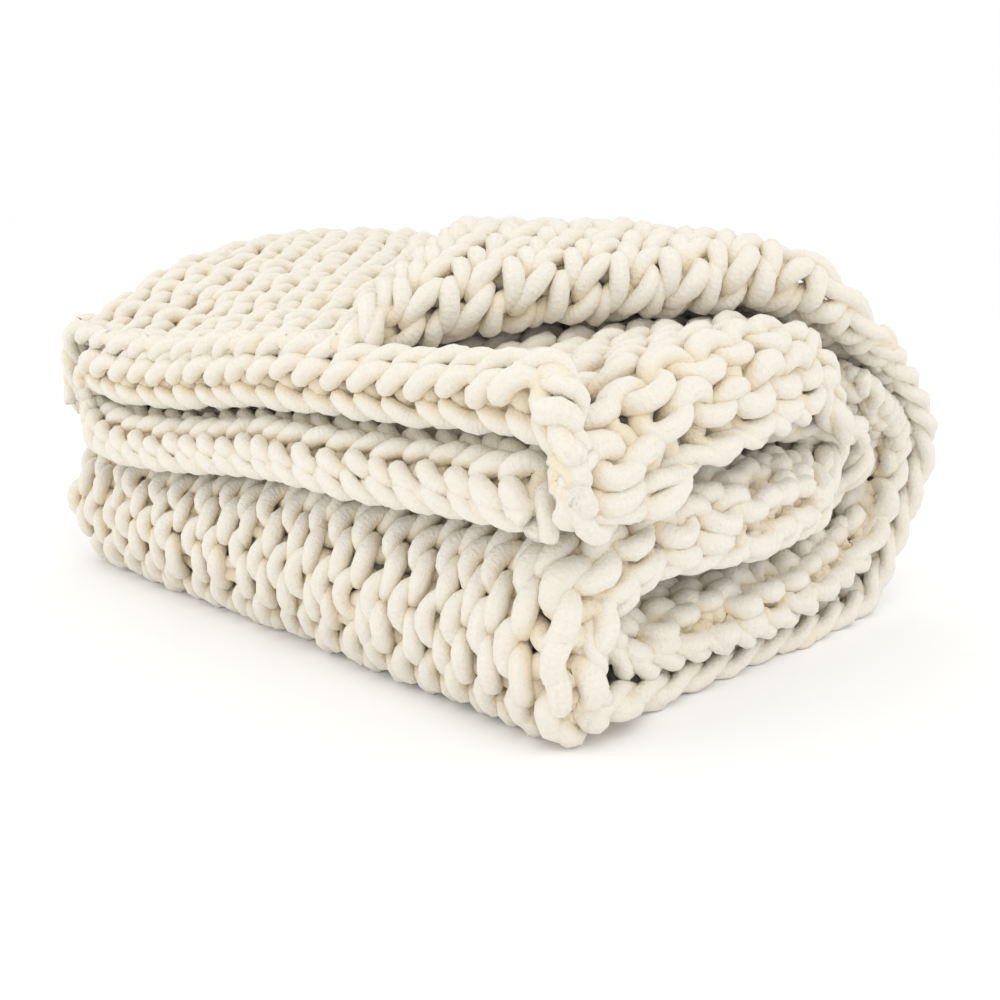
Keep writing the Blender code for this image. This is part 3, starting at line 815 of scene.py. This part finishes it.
class KnitSettings(bpy.types.PropertyGroup):
    """Sizes of the yarn and its loops."""

    yarn_radius: FloatProperty(
        name="Yarn Radius", description="Half the thickness of the yarn as it lies in a stitch",
        default=0.0068, min=0.004, max=0.009, unit="LENGTH", precision=4)
    loop_lean: FloatProperty(
        name="Loop Lean", description="How far a loop's shoulders spread, in stitch columns",
        default=0.235, min=0.0, max=0.3)
    loop_height: FloatProperty(
        name="Loop Height", description="Half the height of a loop, in row pitches",
        default=0.78, min=0.5, max=1.0)
    loop_depth: FloatProperty(
        name="Loop Depth", description="How far the yarn weaves to each side of the cloth",
        default=0.0066, min=0.003, max=0.009, unit="LENGTH", precision=4)
    plumpness: FloatProperty(
        name="Plumpness", description="How much fuller the yarn is where it lies free",
        default=0.07, min=0.0, max=0.2, subtype="FACTOR")
    unevenness: FloatProperty(
        name="Unevenness", description="How hand-made the loops look, 1 as knitted by hand",
        default=1.0, min=0.0, max=2.0)
    seed: IntProperty(
        name="Seed", description="Start of the loops' small differences", default=7, min=0)


class ChenilleSettings(bpy.types.PropertyGroup):
    """Colour, painted shade and pile of the yarn."""

    colour: FloatVectorProperty(
        name="Colour", description="Colour of the tips of the pile", subtype="COLOR", size=3,
        default=(0.872, 0.838, 0.768), min=0.0, max=1.0)
    # Painted shade low in the pile, which also gives the faint patches their real tone
    shade: FloatVectorProperty(
        name="Shade", description="Colour down in the pile", subtype="COLOR", size=3,
        default=(0.80, 0.71, 0.55), min=0.0, max=1.0)
    # Painted shade on the yarn deep between the loops
    hollow_shade: FloatVectorProperty(
        name="Hollow", description="Colour of the yarn deep between the loops", subtype="COLOR",
        size=3, default=(0.85, 0.755, 0.585), min=0.0, max=1.0)
    pile_size: FloatProperty(
        name="Pile Size", description="Size of the finest grain of the pile",
        default=0.0015, min=0.0005, max=0.004, unit="LENGTH", precision=4)
    pile_depth: FloatProperty(
        name="Pile Depth", description="Height of the pile's relief",
        default=0.0014, min=0.0, max=0.004, unit="LENGTH", precision=4)
    ring_spacing: FloatProperty(
        name="Ring Spacing", description="Distance between rings of pile along the yarn",
        default=0.0034, min=0.001, max=0.01, unit="LENGTH", precision=4)
    sheen: FloatProperty(
        name="Sheen", description="Soft light that the pile catches at its rim",
        default=0.6, min=0.0, max=1.0, subtype="FACTOR")


class StudioSettings(bpy.types.PropertyGroup):
    """Floor, light and camera."""

    floor_colour: FloatVectorProperty(
        name="Floor Colour", description="Colour of the floor", subtype="COLOR", size=3,
        default=(1.0, 1.0, 1.0), min=0.0, max=1.0)
    sky_strength: FloatProperty(
        name="Sky Strength", description="Strength of the even light all round",
        default=1.0, min=0.0, max=4.0)
    key_power: FloatProperty(
        name="Key Power", description="Power of the large light above the right end",
        default=7.0, min=0.0, max=200.0, unit="POWER")
    fill_power: FloatProperty(
        name="Fill Power", description="Power of the soft light from the front left",
        default=6.0, min=0.0, max=200.0, unit="POWER")
    camera_place: FloatVectorProperty(
        name="Camera Place", description="Where the camera stands", subtype="TRANSLATION", size=3,
        default=(0.7527, -0.7351, 0.3352), unit="LENGTH")
    camera_aim: FloatVectorProperty(
        name="Camera Aim", description="Direction that the camera looks in", subtype="DIRECTION",
        size=3, default=(-0.676, 0.695, -0.244))
    focal_length: FloatProperty(
        name="Focal Length", description="Focal length for a 36 mm sensor, in millimetres",
        default=42.95, min=20.0, max=200.0)


class BLANKET_OT_knit_outer(bpy.types.Operator):
    """Knit the outer ply, which is the outside of every fold"""

    bl_idname = "blanket.knit_outer"
    bl_label = "Knit Outer Ply"

    def execute(self, context):
        knit = context.scene.blanket_knit
        lines = knit_courses(knit, 0.0, WALES, outer_steps, knit.seed)
        add_courses(context, "outer", lay_ply(True), lines, OUTER_BANDS)
        return {"FINISHED"}


class BLANKET_OT_knit_inner(bpy.types.Operator):
    """Knit the inner ply, which lies inside the folds of the outer one"""

    bl_idname = "blanket.knit_inner"
    bl_label = "Knit Inner Ply"

    def execute(self, context):
        knit = context.scene.blanket_knit
        lines = knit_courses(knit, JOINED_FROM, WALES, inner_steps, knit.seed + 1)
        add_courses(context, "inner", lay_ply(False), lines, INNER_BANDS)
        return {"FINISHED"}


class BLANKET_OT_finish_edges(bpy.types.Operator):
    """Bind off the right end and finish the free sides, each with a twisted cord"""

    bl_idname = "blanket.finish_edges"
    bl_label = "Finish Edges"

    def execute(self, context):
        seed = context.scene.blanket_knit.seed + 2
        outer, inner = lay_ply(True), lay_ply(False)
        edges = (
            ("outer_bind_off", outer, bind_off_cord(-BIND_OFF_OUT, WALES + BIND_OFF_OUT, seed)),
            ("inner_bind_off", inner,
             bind_off_cord(JOINED_FROM - BIND_OFF_OUT, WALES + BIND_OFF_OUT, seed + 1)),
            ("top_edge_cord", outer, side_cord(0.0, -1.0, seed + 2)),
            ("lip_edge_cord", outer, side_cord(WALES, 1.0, seed + 3)),
            ("hidden_edge_cord", inner, side_cord(JOINED_FROM, -1.0, seed + 4)),
            ("curl_edge_cord", inner, side_cord(WALES, 1.0, seed + 5)),
            ("free_end_cord", outer, end_cord(-CORD_OUT, JOINED_FROM, seed + 6)),
        )
        for name, ply, lines in edges:
            add_yarn(context, name, ply, lines, lies_free=True)
        return {"FINISHED"}


class BLANKET_OT_set_studio(bpy.types.Operator):
    """Lay the floor, set the lights and place the camera"""

    bl_idname = "blanket.set_studio"
    bl_label = "Set Studio"

    def execute(self, context):
        studio = context.scene.blanket_studio
        lay_floor(context, studio)
        light_studio(context, studio)
        place_camera(context, studio)
        return {"FINISHED"}


class BLANKET_PT_sidebar(bpy.types.Panel):
    """Sizes, colours and steps of the blanket"""

    bl_idname = "BLANKET_PT_sidebar"
    bl_label = "Blanket"
    bl_space_type = "VIEW_3D"
    bl_region_type = "UI"
    bl_category = "Blanket"

    def draw(self, context):
        scene = context.scene
        for title, settings in (("Knit", scene.blanket_knit), ("Chenille", scene.blanket_chenille),
                                ("Studio", scene.blanket_studio)):
            box = self.layout.box()
            box.label(text=title)
            for name in settings.__annotations__:
                box.prop(settings, name)
        for operator in OPERATORS:
            self.layout.operator(operator.bl_idname)


def lay_floor(context, studio):
    """A plain pale floor that runs out far behind, to meet the sky."""
    mesh = bpy.data.meshes.new("floor")
    mesh.from_pydata([(-FLOOR_REACH, -FLOOR_REACH, 0.0), (FLOOR_REACH, -FLOOR_REACH, 0.0),
                      (FLOOR_REACH, FLOOR_REACH, 0.0), (-FLOOR_REACH, FLOOR_REACH, 0.0)],
                     [], [(0, 1, 2, 3)])
    floor = bpy.data.objects.new("floor", mesh)
    context.scene.collection.objects.link(floor)
    paper = bpy.data.materials.new("studio_paper")
    paper.use_nodes = True
    shader = paper.node_tree.nodes["Principled BSDF"]
    shader.inputs["Base Color"].default_value = (*studio.floor_colour, 1.0)
    shader.inputs["Roughness"].default_value = 0.9
    shader.inputs["Specular IOR Level"].default_value = 0.1
    mesh.materials.append(paper)


def light_studio(context, studio):
    """Even sky light, a large key light above the right end and a soft fill."""
    context.scene.view_settings.view_transform = "Standard"
    world = bpy.data.worlds.new("studio_sky")
    world.use_nodes = True
    sky = world.node_tree.nodes["Background"]
    sky.inputs["Color"].default_value = (1.0, 1.0, 1.0, 1.0)
    sky.inputs["Strength"].default_value = studio.sky_strength
    context.scene.world = world
    for name, place, size, power in (("key", KEY_PLACE, KEY_SIZE, studio.key_power),
                                     ("fill", FILL_PLACE, FILL_SIZE, studio.fill_power)):
        data = bpy.data.lights.new(name, "AREA")
        data.size = size
        data.energy = power
        lamp = bpy.data.objects.new(name, data)
        lamp.location = place
        lamp.rotation_euler = (LIGHT_AIM - place).to_track_quat("-Z", "Y").to_euler()
        context.scene.collection.objects.link(lamp)


def place_camera(context, studio):
    """The camera, level from side to side."""
    ahead = Vector(studio.camera_aim).normalized()
    right = ahead.cross(Vector((0.0, 0.0, 1.0))).normalized()
    up = right.cross(ahead)
    data = bpy.data.cameras.new("camera")
    data.sensor_width = 36.0
    data.lens = studio.focal_length
    camera = bpy.data.objects.new("camera", data)
    context.scene.collection.objects.link(camera)
    turn = Matrix((right, up, -ahead)).transposed().to_4x4()
    camera.matrix_world = Matrix.Translation(studio.camera_place) @ turn
    context.scene.camera = camera


GROUPS = (KnitSettings, ChenilleSettings, StudioSettings)
OPERATORS = (BLANKET_OT_knit_outer, BLANKET_OT_knit_inner, BLANKET_OT_finish_edges,
             BLANKET_OT_set_studio)
CLASSES = (*GROUPS, *OPERATORS, BLANKET_PT_sidebar)


def register():
    for kind in CLASSES:
        bpy.utils.register_class(kind)
    bpy.types.Scene.blanket_knit = PointerProperty(type=KnitSettings)
    bpy.types.Scene.blanket_chenille = PointerProperty(type=ChenilleSettings)
    bpy.types.Scene.blanket_studio = PointerProperty(type=StudioSettings)


def unregister():
    del bpy.types.Scene.blanket_studio
    del bpy.types.Scene.blanket_chenille
    del bpy.types.Scene.blanket_knit
    for kind in reversed(CLASSES):
        bpy.utils.unregister_class(kind)


def main():
    """Knit the blanket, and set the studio."""
    register()
    bpy.ops.blanket.knit_outer()
    bpy.ops.blanket.knit_inner()
    bpy.ops.blanket.finish_edges()
    bpy.ops.blanket.set_studio()
    bpy.context.view_layer.update()


if __name__ == "__main__":
    main()
